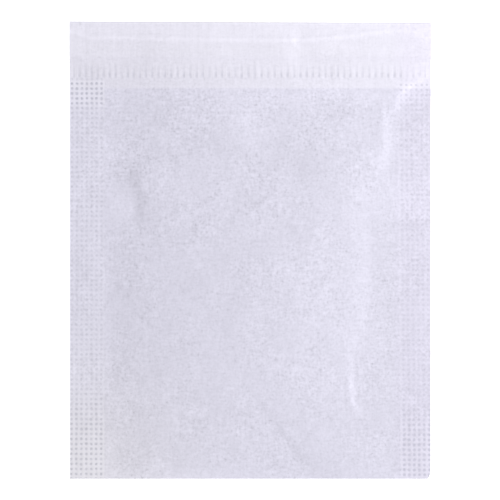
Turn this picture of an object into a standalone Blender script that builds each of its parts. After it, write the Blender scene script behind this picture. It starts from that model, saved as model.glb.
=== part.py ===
"""Empty drawstring bag for loose tea, lying flat and closed.

One strip of heat-sealing filter paper is folded across at the bottom. Both of its ends are turned in at
the mouth and welded down by a comb of short ticks, which leaves a tunnel along each top edge. A grid of
pressed dots seals the two sides. One loop of thread lies in the tunnels and turns round the hems at
both sides, where they are notched to let it through.

Sizes are in metres. +X runs along the mouth, +Y from the bottom fold to the mouth and +Z up from the
table. The origin lies on the table under the middle of the bag. A depth is a distance from the mouth
down the bag.
"""

import math

import bmesh
import bpy

MM = 0.001

# Paper
BAG_WIDTH = 55 * MM
BAG_HEIGHT = 70 * MM
SHEET = 0.12 * MM
SEAL_GAP = 0.08 * MM  # between two sheets that are welded together
WELD_BITE = 0.03 * MM  # how far the molten fibre reaches into a sheet
WELD_INSET = 0.05 * MM  # from the raw side edge to the molten fibre
WELD_MARGIN = 0.15 * MM  # from the molten fibre to the pocket

# Hems
HEM_DEPTH = 10 * MM  # from the mouth to the raw edge inside
COMB_DEPTH = 6.4 * MM  # from the mouth to the top of the ticks
COMB_LENGTH = 2.25 * MM
TICK_PITCH = 0.947 * MM
TICK_WIDTH = 0.4 * MM
TICK_WALL = 0.08 * MM  # width of the slope round a tick's floor
TICK_PRESS = 0.05 * MM  # at the lower end, where the tool bit deepest
TICK_PRESS_TOP = 0.02 * MM
FRONT_TUNNEL_DEPTH = 3.4 * MM  # down to here the tunnel has its full height
BACK_TUNNEL_DEPTH = 4.9 * MM
MOUTH_GAP = 0.2 * MM  # between the two hems

# Side seals
LEFT_SEAL = 5.2 * MM
RIGHT_SEAL = 4.4 * MM
SEAL_DEPTH = 9.2 * MM  # from the mouth to the first dots
DOT_PITCH = 0.75 * MM
DOTS_PER_ROW = 3  # rows of dots to one row of the front panel's own faces
DOT_PRESS = 0.05 * MM
HEM_RAMP = 0.8 * MM  # over which a side seal drops from four sheets to two

# Pocket
POCKET_RISE = 0.95 * MM  # how far the front panel bellies up over the seals
POCKET_RAMP = 16 * MM  # over which the hem's thickness dies away in the middle
CREASES = (  # soft folds in the front panel: two ends as shares of the bag, height, half-width
    ((0.86, 0.20), (0.83, 0.33), 0.22 * MM, 1.9 * MM),
    ((0.80, 0.36), (0.81, 0.66), 0.26 * MM, 2.0 * MM),
    ((0.79, 0.76), (0.81, 0.87), 0.34 * MM, 1.8 * MM),
    ((0.19, 0.30), (0.19, 0.44), -0.24 * MM, 2.2 * MM),
    ((0.16, 0.36), (0.15, 0.42), 0.20 * MM, 2.0 * MM),
    ((0.54, 0.83), (0.69, 0.97), -0.22 * MM, 1.8 * MM),
)

# Thread
THREAD = 0.4 * MM
THREAD_PLAY = 0.08 * MM  # to the paper on each side
LOOP_INSET = 0.1 * MM  # from the bag's side edge to the thread at its turn
LEFT_TURN_DEPTH = 1.6 * MM
RIGHT_TURN_DEPTH = 2.4 * MM
NOTCH_HEIGHT = 1.5 * MM
FRONT_ROUTE = (  # shares of the run from left to right, and of the tunnel from its fold down
    (0.035, 0.74),
    (0.09, 0.73),
    (0.25, 0.80),
    (0.40, 0.86),
    (0.62, 0.87),
    (0.74, 0.72),
    (0.85, 0.46),
    (0.93, 0.34),
    (0.975, 0.52),
)
BACK_ROUTE = (
    (0.04, 0.34),
    (0.16, 0.42),
    (0.36, 0.54),
    (0.56, 0.64),
    (0.74, 0.80),
    (0.88, 0.95),
    (0.95, 0.86),
)
RUN_POINT_COUNT = 33
TURN_POINT_COUNT = 5

# Fineness
POCKET_COLUMNS = 18
FOLD_STEPS = 8
BOTTOM_FOLD_STEPS = 4
TAPER_STEPS = 3
PUFF_POWER = 0.75
SAME_PLACE = 0.001 * MM
DRIFT = 0.02 * MM
CUT_OVERRUN = 1 * MM

TUNNEL = THREAD + 2 * THREAD_PLAY
TOP_FOLD_RADIUS = (TUNNEL + SHEET) / 2
BOTTOM_FOLD_RADIUS = (SEAL_GAP + SHEET) / 2
TOP_FOLD_DEPTH = TOP_FOLD_RADIUS + SHEET / 2
BOTTOM_FOLD_DEPTH = BAG_HEIGHT - BOTTOM_FOLD_RADIUS - SHEET / 2
COMB_END = COMB_DEPTH + COMB_LENGTH
SEALED_HEIGHT = 1.5 * SHEET + SEAL_GAP
LEFT_EDGE, RIGHT_EDGE = -BAG_WIDTH / 2, BAG_WIDTH / 2
POCKET_LEFT, POCKET_RIGHT = LEFT_EDGE + LEFT_SEAL, RIGHT_EDGE - RIGHT_SEAL
TWO_SHEET_DEPTH = HEM_DEPTH + HEM_RAMP
POCKET_ROWS = max(round((BOTTOM_FOLD_DEPTH - TWO_SHEET_DEPTH) / (DOTS_PER_ROW * DOT_PITCH)), 1)


def clear_scene():
    for obj in list(bpy.data.objects):
        bpy.data.objects.remove(obj, do_unlink=True)


def new_collection(name):
    made = bpy.data.collections.new(name)
    bpy.context.scene.collection.children.link(made)
    return made


def new_object(name, data, collection, material=None):
    obj = bpy.data.objects.new(name, data)
    collection.objects.link(obj)
    if material:
        data.materials.clear()
        data.materials.append(material)
    return obj


def matt_material(name, colour, roughness):
    material = bpy.data.materials.new(name)
    material.use_nodes = True
    shader = material.node_tree.nodes["Principled BSDF"]
    shader.inputs["Base Color"].default_value = (*colour, 1)
    shader.inputs["Roughness"].default_value = roughness
    shader.inputs["Metallic"].default_value = 0
    return material


def paper_material():
    return matt_material("filter paper", (0.74, 0.73, 0.84), 0.9)


def thread_material():
    return matt_material("cotton thread", (0.86, 0.86, 0.92), 0.95)


def ease(start, end, at):
    """0 up to start, 1 from end on, and smooth between them."""
    share = min(max((at - start) / (end - start), 0), 1)
    return 0.5 - 0.5 * math.cos(math.pi * share)


def steps(start, end, count):
    """count + 1 values from start to end."""
    return [start + (end - start) * i / count for i in range(count + 1)]


def tunnel_height(depth, full_depth):
    """Clear height between a panel and its turned-in hem, down to the comb that welds them."""
    return TUNNEL + (SEAL_GAP - TUNNEL) * ease(full_depth, COMB_DEPTH, depth)


def back_hem_height(depth):
    return 1.5 * SHEET + tunnel_height(depth, BACK_TUNNEL_DEPTH)


def front_hem_height(depth):
    return back_hem_height(depth) + SHEET + MOUTH_GAP


def hem_stack_height(depth):
    """Middle of the front panel where it lies over both hems."""
    return front_hem_height(depth) + SHEET + tunnel_height(depth, FRONT_TUNNEL_DEPTH)


def crease_height(x, depth):
    """Sum of the soft folds in the front panel."""
    total = 0
    for (x_1, depth_1), (x_2, depth_2), height, half_width in CREASES:
        start = (LEFT_EDGE + x_1 * BAG_WIDTH, depth_1 * BAG_HEIGHT)
        run = ((x_2 - x_1) * BAG_WIDTH, (depth_2 - depth_1) * BAG_HEIGHT)
        away = (x - start[0], depth - start[1])
        share = (away[0] * run[0] + away[1] * run[1]) / (run[0] ** 2 + run[1] ** 2)
        share = min(max(share, 0), 1)
        distance = math.hypot(away[0] - share * run[0], away[1] - share * run[1])
        total += height * math.exp(-((distance / half_width) ** 2))
    return total


def front_height(x, depth):
    """Middle of the front panel: a stack of hems, then a belly between the two side seals."""
    if depth <= HEM_DEPTH:
        return hem_stack_height(depth)
    across = min(max((x - POCKET_LEFT) / (POCKET_RIGHT - POCKET_LEFT), 0), 1)
    down = (depth - HEM_DEPTH) / (BOTTOM_FOLD_DEPTH - HEM_DEPTH)
    middle = max(math.sin(math.pi * across), 0) ** PUFF_POWER
    belly = middle * max(math.sin(math.pi * down), 0) ** PUFF_POWER
    at_seals = 1 - ease(HEM_DEPTH, HEM_DEPTH + HEM_RAMP, depth)
    at_middle = 1 - ease(HEM_DEPTH, HEM_DEPTH + POCKET_RAMP, depth)
    step = (hem_stack_height(HEM_DEPTH) - SEALED_HEIGHT) * (at_seals + (at_middle - at_seals) * middle)
    return SEALED_HEIGHT + step + (POCKET_RISE + crease_height(x, depth)) * belly


def strip_rows():
    """(depth, height) of the strip's middle surface, from the back hem's raw edge to the front hem's.

    A height of None stands for the front panel's own."""
    back_taper = steps(COMB_DEPTH, BACK_TUNNEL_DEPTH, TAPER_STEPS)
    front_taper = steps(BACK_TUNNEL_DEPTH, FRONT_TUNNEL_DEPTH, TAPER_STEPS)[1:]
    weld = [HEM_DEPTH, COMB_END]
    turns = [math.pi * i / FOLD_STEPS for i in range(1, FOLD_STEPS)]
    bottom_turns = [math.pi * i / BOTTOM_FOLD_STEPS for i in range(1, BOTTOM_FOLD_STEPS)]

    def top_fold(low):
        """The half turn from a sheet TUNNEL above low down to the one at low."""
        high = [TOP_FOLD_RADIUS * (1 + math.cos(turn)) for turn in turns]
        out = [TOP_FOLD_RADIUS * math.sin(turn) for turn in turns]
        return [(TOP_FOLD_DEPTH - o, low + h) for o, h in zip(out, high)]

    rows = [(depth, back_hem_height(depth)) for depth in [*weld, *back_taper, TOP_FOLD_DEPTH]]
    rows += top_fold(SHEET / 2)
    rows += [(TOP_FOLD_DEPTH, SHEET / 2), (BOTTOM_FOLD_DEPTH, SHEET / 2)]
    for turn in bottom_turns:
        rows.append(
            (
                BOTTOM_FOLD_DEPTH + BOTTOM_FOLD_RADIUS * math.sin(turn),
                SHEET / 2 + BOTTOM_FOLD_RADIUS * (1 - math.cos(turn)),
            )
        )
    pocket = steps(BOTTOM_FOLD_DEPTH, TWO_SHEET_DEPTH, POCKET_ROWS)
    front = [*pocket, HEM_DEPTH + HEM_RAMP / 2, *weld, *back_taper, *front_taper, TOP_FOLD_DEPTH]
    rows += [(depth, None) for depth in front]
    rows += top_fold(front_hem_height(TOP_FOLD_DEPTH))
    inner = [*weld, *back_taper, *front_taper, TOP_FOLD_DEPTH]
    rows += [(depth, front_hem_height(depth)) for depth in reversed(inner)]
    return rows


def strip_columns():
    return [LEFT_EDGE, *steps(POCKET_LEFT, POCKET_RIGHT, POCKET_COLUMNS), RIGHT_EDGE]


def join_level_faces(strip):
    """Takes the column lines out of the hems and the back panel, which are level from side to side."""

    def in_pocket(face):
        low = min(vert.co.y for vert in face.verts)
        return low < BAG_HEIGHT / 2 - HEM_DEPTH - SAME_PLACE and face.calc_center_median().z > SHEET

    lines = []
    for edge in strip.edges:
        start, end = edge.verts
        upright = abs(start.co.x - end.co.x) < SAME_PLACE
        if upright and len(edge.link_faces) == 2 and not any(in_pocket(f) for f in edge.link_faces):
            lines.append(edge)
    bmesh.ops.dissolve_edges(strip, edges=lines, use_verts=True)


def folded_strip():
    """The middle surface of the paper: a flat grid, bent along the strip's rows."""
    columns = strip_columns()
    rows = strip_rows()
    across, along = len(columns) - 1, len(rows) - 1
    strip = bmesh.new()
    bmesh.ops.create_grid(strip, x_segments=across, y_segments=along, size=0.5)
    for vert in strip.verts:
        x = columns[round((vert.co.x + 0.5) * across)]
        depth, height = rows[round((vert.co.y + 0.5) * along)]
        if height is None:
            height = front_height(x, depth)
        vert.co = (x, BAG_HEIGHT / 2 - depth, height)
    join_level_faces(strip)
    return strip


def divided(sheet, faces, xs, ys):
    """Cuts the given faces along lines of constant x and constant y, and returns all their pieces."""
    lines = [((x, 0, 0), (1, 0, 0)) for x in xs]
    lines += [((0, y, 0), (0, 1, 0)) for y in ys]
    pieces = list({*faces, *(e for f in faces for e in f.edges), *(v for f in faces for v in f.verts)})
    for point, normal in lines:
        cut = bmesh.ops.bisect_plane(
            sheet, geom=pieces, dist=SAME_PLACE, plane_co=point, plane_no=normal
        )
        pieces = cut["geom"]
    return [piece for piece in pieces if isinstance(piece, bmesh.types.BMFace)]


def flat_faces(sheet, height, facing, low, high):
    """The flat faces at a height that face up (1) or down (-1) and lie at least partly in a rectangle."""
    found = []
    for face in sheet.faces:
        if face.normal.z * facing < 0.999:
            continue
        if abs(face.verts[0].co.z - height) > SAME_PLACE:
            continue
        xs = [vert.co.x for vert in face.verts]
        ys = [vert.co.y for vert in face.verts]
        if max(xs) > low[0] and min(xs) < high[0] and max(ys) > low[1] and min(ys) < high[1]:
            found.append(face)
    return found


def press_ticks(sheet, height, facing):
    """The comb on the outside of one hem: a row of upright ticks, deepest at their lower ends."""
    top, bottom = BAG_HEIGHT / 2 - COMB_DEPTH, BAG_HEIGHT / 2 - COMB_END
    count = int((BAG_WIDTH - TICK_WIDTH) / TICK_PITCH) + 1
    middles = [(i - (count - 1) / 2) * TICK_PITCH for i in range(count)]
    sides = [x + side * TICK_WIDTH / 2 for x in middles for side in (-1, 1)]
    zone = flat_faces(sheet, height, facing, (LEFT_EDGE, bottom), (RIGHT_EDGE, top))
    pieces = divided(sheet, zone, sides, (bottom, top))
    ticks = []
    for face in pieces:
        middle = face.calc_center_bounds()
        nearest = min(abs(middle.x - x) for x in middles)
        if nearest < TICK_WIDTH / 4 and bottom < middle.y < top:
            ticks.append(face)
    bmesh.ops.inset_individual(sheet, faces=ticks, thickness=TICK_WALL, use_even_offset=True)
    for face in ticks:
        for vert in face.verts:
            share = (top - vert.co.y) / COMB_LENGTH
            vert.co.z -= facing * (TICK_PRESS_TOP + (TICK_PRESS - TICK_PRESS_TOP) * share)


def press_dots(sheet, left, right, height, top, bottom, rows):
    """The dots of one side seal: square cells whose middles are pressed in."""
    columns = max(round((right - left) / DOT_PITCH), 1)
    zone = flat_faces(sheet, height, 1, (left, bottom), (right, top))
    pieces = divided(sheet, zone, steps(left, right, columns), steps(bottom, top, rows))
    cells = []
    for face in pieces:
        middle = face.calc_center_bounds()
        if left < middle.x < right and bottom < middle.y < top:
            cells.append(face)
    bmesh.ops.poke(sheet, faces=cells, offset=-DOT_PRESS, center_mode="BOUNDS")


def box(mesh, low, high):
    """Adds a box between two corners."""
    made = bmesh.ops.create_cube(mesh, size=1)
    size = [h - l for l, h in zip(low, high)]
    middle = [(h + l) / 2 for l, h in zip(low, high)]
    bmesh.ops.scale(mesh, vec=size, verts=made["verts"])
    bmesh.ops.translate(mesh, vec=middle, verts=made["verts"])


def helper_object(name, mesh, collection):
    """A shape that a Boolean reads and no render shows."""
    data = bpy.data.meshes.new(name)
    mesh.to_mesh(data)
    mesh.free()
    obj = new_object(name, data, collection)
    obj.hide_render = True
    obj.display_type = "WIRE"
    return obj


def comb_welds(collection):
    """Molten fibre between each hem and its panel, behind the ticks."""
    top = BAG_HEIGHT / 2
    mesh = bmesh.new()
    for low in (SHEET, front_hem_height(COMB_DEPTH) + SHEET / 2):
        box(
            mesh,
            (LEFT_EDGE + WELD_INSET, top - COMB_END + WELD_INSET, low - WELD_BITE),
            (RIGHT_EDGE - WELD_INSET, top - COMB_DEPTH - WELD_INSET, low + SEAL_GAP + WELD_BITE),
        )
    return helper_object("comb welds", mesh, collection)


def seal_welds(collection):
    """Molten fibre in the side seals: through all four sheets of the hems, and between the panels."""
    top = BAG_HEIGHT / 2
    mesh = bmesh.new()
    under_panel = hem_stack_height(HEM_DEPTH) - SHEET / 2
    for side_left, side_right in (
        (LEFT_EDGE + WELD_INSET, POCKET_LEFT - WELD_MARGIN),
        (POCKET_RIGHT + WELD_MARGIN, RIGHT_EDGE - WELD_INSET),
    ):
        box(
            mesh,
            (side_left, top - HEM_DEPTH + WELD_INSET, SHEET - WELD_BITE),
            (side_right, top - SEAL_DEPTH, under_panel + WELD_BITE),
        )
        box(
            mesh,
            (side_left, top - BOTTOM_FOLD_DEPTH + WELD_INSET, SHEET - WELD_BITE),
            (side_right, top - TWO_SHEET_DEPTH - WELD_INSET, SHEET + SEAL_GAP + WELD_BITE),
        )
    return helper_object("seal welds", mesh, collection)


def turn_centre():
    """How far from the bag's middle the thread starts to turn, its mid height and its radius there."""
    front = hem_stack_height(TOP_FOLD_DEPTH) - (SHEET + TUNNEL) / 2
    back = SHEET + TUNNEL / 2
    radius = (front - back) / 2
    return RIGHT_EDGE - LOOP_INSET - THREAD / 2 - radius, (front + back) / 2, radius


def notches(collection):
    """What is cut from the ends of both hems, so that the thread can turn from one to the other."""
    x, mid_height, radius = turn_centre()
    mesh = bmesh.new()
    for side, depth in ((-1, LEFT_TURN_DEPTH), (1, RIGHT_TURN_DEPTH)):
        ends = sorted((side * x, side * (RIGHT_EDGE + CUT_OVERRUN)))
        middle = BAG_HEIGHT / 2 - depth
        box(
            mesh,
            (ends[0], middle - NOTCH_HEIGHT / 2, mid_height - radius),
            (ends[1], middle + NOTCH_HEIGHT / 2, mid_height + radius),
        )
    return helper_object("notches", mesh, collection)


def straighten(sheet):
    """Puts points that the thickening moved a little off the front panel's lines back on them."""
    depths = [depth for depth, height in strip_rows() if height is None and depth >= HEM_DEPTH]
    for vert in sheet.verts:
        x = min(strip_columns(), key=lambda column: abs(column - vert.co.x))
        y = min((BAG_HEIGHT / 2 - depth for depth in depths), key=lambda row: abs(row - vert.co.y))
        if abs(x - vert.co.x) < DRIFT:
            vert.co.x = x
        if abs(y - vert.co.y) < DRIFT:
            vert.co.y = y


def bag_sheet(collection, helpers):
    """The folded strip given its thickness, pressed, welded and notched."""
    strip = folded_strip()
    data = bpy.data.meshes.new("folded strip")
    strip.to_mesh(data)
    strip.free()
    obj = new_object("bag_sheet", data, collection, paper_material())
    solidify = obj.modifiers.new("paper thickness", "SOLIDIFY")
    solidify.thickness = SHEET
    solidify.offset = 0
    solidify.use_even_offset = True
    thick = bpy.data.meshes.new_from_object(obj.evaluated_get(bpy.context.evaluated_depsgraph_get()))
    obj.modifiers.remove(solidify)
    obj.data = thick
    bpy.data.meshes.remove(data)

    sheet = bmesh.new()
    sheet.from_mesh(thick)
    bmesh.ops.recalc_face_normals(sheet, faces=sheet.faces)
    straighten(sheet)
    top = BAG_HEIGHT / 2
    hem_top = hem_stack_height(HEM_DEPTH) + SHEET / 2
    press_ticks(sheet, hem_top, 1)
    press_ticks(sheet, 0, -1)
    for left, right in ((LEFT_EDGE, POCKET_LEFT), (POCKET_RIGHT, RIGHT_EDGE)):
        press_dots(sheet, left, right, hem_top, top - SEAL_DEPTH, top - HEM_DEPTH, 1)
        press_dots(
            sheet,
            left,
            right,
            SEALED_HEIGHT + SHEET / 2,
            top - TWO_SHEET_DEPTH,
            top - BOTTOM_FOLD_DEPTH,
            DOTS_PER_ROW * POCKET_ROWS,
        )
    sheet.to_mesh(thick)
    sheet.free()

    for helper, operation in (
        (comb_welds(helpers), "UNION"),
        (seal_welds(helpers), "UNION"),
        (notches(helpers), "DIFFERENCE"),
    ):
        boolean = obj.modifiers.new(helper.name, "BOOLEAN")
        boolean.operation = operation
        boolean.object = helper
    return obj


def smooth_run(points, count):
    """count places on a smooth curve through the points, its two ends among them."""
    ends = [points[0], *points, points[-1]]
    places = []
    for i in range(count):
        at = i * (len(points) - 1) / (count - 1)
        span = min(int(at), len(points) - 2)
        t = at - span
        a, b, c, d = ends[span : span + 4]
        places.append(
            tuple(
                0.5 * (2 * q + (r - p) * t + (2 * p - 5 * q + 4 * r - s) * t**2)
                + 0.5 * (3 * q - p - 3 * r + s) * t**3
                for p, q, r, s in zip(a, b, c, d)
            )
        )
    return places


def thread_places():
    """The loop's middle line: along the front tunnel, round, back along the other and round again."""
    x_end, mid_height, radius = turn_centre()
    lowest = THREAD / 2 + THREAD_PLAY
    ends = (-x_end, LEFT_TURN_DEPTH), (x_end, RIGHT_TURN_DEPTH)

    def run(route, full_depth):
        reach = full_depth - lowest - TOP_FOLD_DEPTH
        inner = [((2 * x - 1) * x_end, TOP_FOLD_DEPTH + depth * reach) for x, depth in route]
        return smooth_run([ends[0], *inner, ends[1]], RUN_POINT_COUNT)

    def turn(side, depth):
        angles = steps(0, math.pi, TURN_POINT_COUNT + 1)[1:-1]
        return [
            (
                side * (x_end + radius * math.sin(angle)),
                depth,
                mid_height + side * radius * math.cos(angle),
            )
            for angle in angles
        ]

    front = [(x, depth, mid_height + radius) for x, depth in run(FRONT_ROUTE, FRONT_TUNNEL_DEPTH)]
    back = [(x, depth, mid_height - radius) for x, depth in run(BACK_ROUTE, BACK_TUNNEL_DEPTH)]
    loop = [*front, *turn(1, RIGHT_TURN_DEPTH), *reversed(back), *turn(-1, LEFT_TURN_DEPTH)]
    return [(x, BAG_HEIGHT / 2 - depth, z) for x, depth, z in loop]


def drawstring(collection):
    data = bpy.data.curves.new("drawstring", "CURVE")
    data.dimensions = "3D"
    data.bevel_depth = THREAD / 2
    data.bevel_resolution = 2
    places = thread_places()
    spline = data.splines.new("POLY")
    spline.points.add(len(places) - 1)
    for point, place in zip(spline.points, places):
        point.co = (*place, 1)
    spline.use_cyclic_u = True
    return new_object("drawstring", data, collection, thread_material())


def main():
    clear_scene()
    bag = new_collection("drawstring tea bag")
    helpers = new_collection("helpers")
    bag_sheet(bag, helpers)
    drawstring(bag)


main()
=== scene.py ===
"""Looks of an empty drawstring tea bag of heat-sealing filter paper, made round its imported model.

Sizes are in metres. +X runs along the mouth, +Y from the bottom fold to the mouth and +Z up. A depth is a
distance from the mouth down the bag.
"""

import math

import bmesh
import bpy
import numpy as np
from bpy.props import FloatProperty, FloatVectorProperty, IntProperty, PointerProperty
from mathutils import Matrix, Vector, noise


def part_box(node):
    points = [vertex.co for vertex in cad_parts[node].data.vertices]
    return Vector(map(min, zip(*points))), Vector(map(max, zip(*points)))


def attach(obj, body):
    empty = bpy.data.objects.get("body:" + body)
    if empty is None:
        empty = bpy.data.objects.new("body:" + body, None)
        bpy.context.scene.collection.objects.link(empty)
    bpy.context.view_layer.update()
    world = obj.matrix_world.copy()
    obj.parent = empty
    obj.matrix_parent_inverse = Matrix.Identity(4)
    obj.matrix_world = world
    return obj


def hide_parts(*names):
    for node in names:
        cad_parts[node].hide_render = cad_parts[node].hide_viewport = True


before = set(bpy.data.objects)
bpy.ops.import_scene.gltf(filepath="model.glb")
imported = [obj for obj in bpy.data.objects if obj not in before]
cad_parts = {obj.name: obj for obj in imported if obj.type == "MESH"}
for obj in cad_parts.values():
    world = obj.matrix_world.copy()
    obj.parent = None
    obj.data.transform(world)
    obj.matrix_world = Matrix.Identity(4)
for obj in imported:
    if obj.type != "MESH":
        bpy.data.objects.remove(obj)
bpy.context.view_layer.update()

bl_info = {
    "name": "Empty Tea Bag",
    "version": (1, 0, 0),
    "blender": (4, 5, 0),
    "location": "View3D > Sidebar > Tea Bag",
    "description": "Makes a flat, empty drawstring tea bag of heat-sealed filter paper",
    "category": "Add Mesh",
}

MM = 0.001


def mm(*sizes):
    """The sizes in metres, given in mm."""
    return tuple(size * MM for size in sizes)


PAPER_LOW, PAPER_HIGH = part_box("bag_sheet")
BAG_WIDTH = PAPER_HIGH.x - PAPER_LOW.x
BAG_HEIGHT = 69.58 * MM
LEFT_EDGE, RIGHT_EDGE = -BAG_WIDTH / 2, BAG_WIDTH / 2

# Hems: the two turned-in ends of the strip
SEAL_GAP = 0.08 * MM  # between two sheets that are welded together
MOUTH_GAP = 0.2 * MM  # between the two hems
MOUTH_LEAN = 0.2 * MM  # how much lower the fold lies at its right end than at its left
MOUTH_LEAN_DEPTH = 5 * MM
FRONT_TUNNEL_DEPTH = 3.4 * MM  # down to here the tunnel has its full height
BACK_TUNNEL_DEPTH = 4.9 * MM
RAW_EDGE_STEP = 0.04 * MM  # how far the front panel drops past the front hem's raw edge
RAW_EDGE_RUN = 0.5 * MM
RAW_EDGE_FADE = 6 * MM  # this far below the raw edge that drop has died away

# Pocket
LEFT_SEAL = 5.2 * MM
RIGHT_SEAL = 4.4 * MM
HEM_RAMP = 5 * MM
POCKET_RISE = 0.95 * MM
POCKET_RAMP = 16 * MM
PUFF_POWER = 1.15
CORNER_CUT = 0.6 * MM  # at the lower right corner, which is a little rounded
CORNER_DEPTH = 68.1 * MM
POCKET_CREASES = (  # soft folds: two ends as shares of the bag, height and half-width in mm
    ((0.86, 0.20), (0.83, 0.33), 0.22, 1.9),
    ((0.80, 0.36), (0.81, 0.66), 0.26, 2.0),
    ((0.79, 0.76), (0.81, 0.87), 0.34, 1.8),
    ((0.19, 0.30), (0.19, 0.44), -0.24, 2.2),
    ((0.16, 0.36), (0.15, 0.42), 0.20, 2.0),
    ((0.54, 0.83), (0.69, 0.97), -0.22, 1.8),
)

# Thread
THREAD_PLAY = 0.08 * MM  # between the thread and the paper on each side
THREAD_STEP = 0.11 * MM
LOBE = 0.22  # how much of a ply's radius is the groove between two plies
LOOP_INSET = 0.1 * MM  # from the bag's side edge to the thread at its turn
LEFT_TURN_DEPTH = 1.6 * MM
RIGHT_TURN_DEPTH = 2.4 * MM
NOTCH_HEIGHT = 1.5 * MM
FRONT_ROUTE = (  # shares of the run from left to right, and of the tunnel from its fold down
    (0.035, 0.74), (0.09, 0.73), (0.25, 0.80), (0.40, 0.86), (0.62, 0.87),
    (0.74, 0.72), (0.85, 0.46), (0.93, 0.34), (0.975, 0.52),
)
BACK_ROUTE = (
    (0.04, 0.34), (0.16, 0.42), (0.36, 0.54), (0.56, 0.64), (0.74, 0.80), (0.88, 0.95), (0.95, 0.86),
)
THREAD_DRAPE = 0.16 * MM  # how far the front panel sinks beside the thread
THREAD_DRAPE_WIDTH = 0.55 * MM
DRAPE_TOP = mm(0.3, 0.9)  # depths between which it begins
DRAPE_LEFT = mm(0.3, 2.5)  # distances from the left edge between which it begins there
DRAPE_RIGHT = (*mm(22, 26.5), 0.8)  # x between which it fades, and how much

# Dots of the side seals, and ticks of the hems
LEFT_DOTS = (mm(-27.18, -22.69), mm(-27.33, -22.78), 7)  # first and last x, top and bottom, and columns
RIGHT_DOTS = (mm(22.94, 26.83), mm(23.45, 27.28), 6)
LEFT_ROWS = (*mm(9.35, 68.83), 80, 0.012)  # first and last depth, rows, how much closer at the top
RIGHT_ROWS = (*mm(9.56, 68.97), 79, 0)
TICK_NUMBERS = (0, 12, 24, 35, 46, 56)
TICK_PLACES = mm(-26.98, -15.97, -4.34, 6.64, 17.09, 26.72)  # x of these ticks
TICK_TOP_PRESS, TICK_FOOT_PRESS = 0.42, 0.54
TICK_TOP = mm(-0.5, 0.9)  # distances below the comb's depth between which a tick begins
TICK_FOOT = mm(0.55, 1.3)  # distances above its lower end between which it gets deeper
TICK_STOP = mm(0.02, 0.45)  # and between which it ends
TICK_RIGHT = (*mm(22.6, 23.8), 0.35)  # x between which the ticks get fainter, and how much
TICK_FLANK = 0.75  # from a tick's middle to where its pit ends, in tick widths
DOT_PRESS = 0.06 * MM
DOT_RADIUS = 0.42  # in dot distances
FULL_PRESS = 1.3  # seal strength times this is the share of a dot's full depth
BACK_PRESS = 0.8  # the same on the back panel, as a share of the front's
SEAL_EDGES = (-0.8, 0.55)  # past the first and the last column, in columns: where a seal's press ends
SEAL_START = ((0.3, -1.6, -1.2), (0.7, -0.8, -0.4))  # shares, and rows between which the press begins
# Seal strength: all along, more at the top and more at the bottom with the depths between which it changes
LEFT_STRENGTH = (0.42, (0.6, *mm(11, 14.5)), (0.38, *mm(54, 64)))
RIGHT_STRENGTH = (0.30, (0.2, *mm(9, 16)), (0.55, *mm(55, 65)))
RIGHT_RAISED = 0.72  # how much less the paper whitens between the dots of the right seal

# Fineness
FOLD_STEPS = 8
BOTTOM_FOLD_STEPS = 6
HEM_ROWS = 22
BODY_COLUMNS = 60
TURN_STEPS = 12
RUN_PLACES = 400
COMB_CUTS_FRONT, COMB_CUTS_BACK = 2, 3
FINE_PAST = 0.5 * MM  # how far the finer grid goes past the dots, the ticks and the raw edge
FINE_ABOVE_DOTS, FINE_BELOW_EDGE, FINE_ABOVE_TICKS = mm(0.8, 0.9, 1)
SAME_PLACE = 0.001 * MM
SAME_SHEET = 0.01
SHARP_ANGLE = math.radians(50)

# Relief of the front panel
BODY_RUN = 3 * MM  # from the raw edge to where the paper is fully cockled
FLAT_SIDE = 1.2 * MM  # the folds die away this near the side edges
FLAT_BOTTOM = mm(68.5, 69.8)  # and between these depths
HEM_COCKLE, BODY_COCKLE = mm(0.014, 0.046)
COCKLES = ((260, 200, 1.7, 1), (700, 520, 4.1, 0.5))  # scale across and down, place in the noise, size
FADE_IN, FADE_OUT = (-0.1, 0.25), (0.75, 1.1)  # shares of a fold's length between which it begins and ends
SIDE_REACH = 5  # in half-widths of a fold

# Lightness, as a share of the paper's own. Some of it is painted light and shade, as said at each.
HEM_EDGE = mm(-0.2, 0.32)  # distances past the raw edge between which four sheets become two
WELDED = (*mm(8, 8.7), 0.2)  # depths between which the welded sheets get duller, and how much
THREAD_LIGHT, THREAD_LIGHT_WIDTH = 0.05, 0.3 * MM  # of the thread's line, seen through the paper
THREAD_LIGHT_RIGHT = (*mm(22, 25.5), 0.8)  # x between which it fades, and how much
BACK_THREAD_LIGHT, BACK_THREAD_WIDTH = 0.02, 0.5 * MM
BACK_THREAD_SEEN = mm(8, 14)  # x between which it begins
TUNNEL_LIGHT, TUNNEL_LIGHT_END = 0.035, mm(-0.5, 0.9)  # distances below the thread
HEM_SHADE, HEM_SHADE_MIDDLE, HEM_SHADE_SLOPE = -0.035, 0.45, 1.3  # painted shade down the lower hem to its raw edge: most at the left, and turning to faint painted light at the right
HEM_SHADE_DEPTHS = mm(4.5, 7.5)
FOLD_LIGHT, FOLD_LIGHT_RUN = 0.10, (0.1, 0.45)  # painted light on the turned edges at the mouth and the bottom fold, which the lamp barely reaches; run in sheets
RIM_LIGHT, RIM_RUN = 0.03, mm(0, 0.9)  # painted light along the left edge
SEAL_LIGHT, SEAL_LIGHT_RUN = 0.034, mm(0.9, 3.4)  # in the left seal, and distances past it

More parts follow.
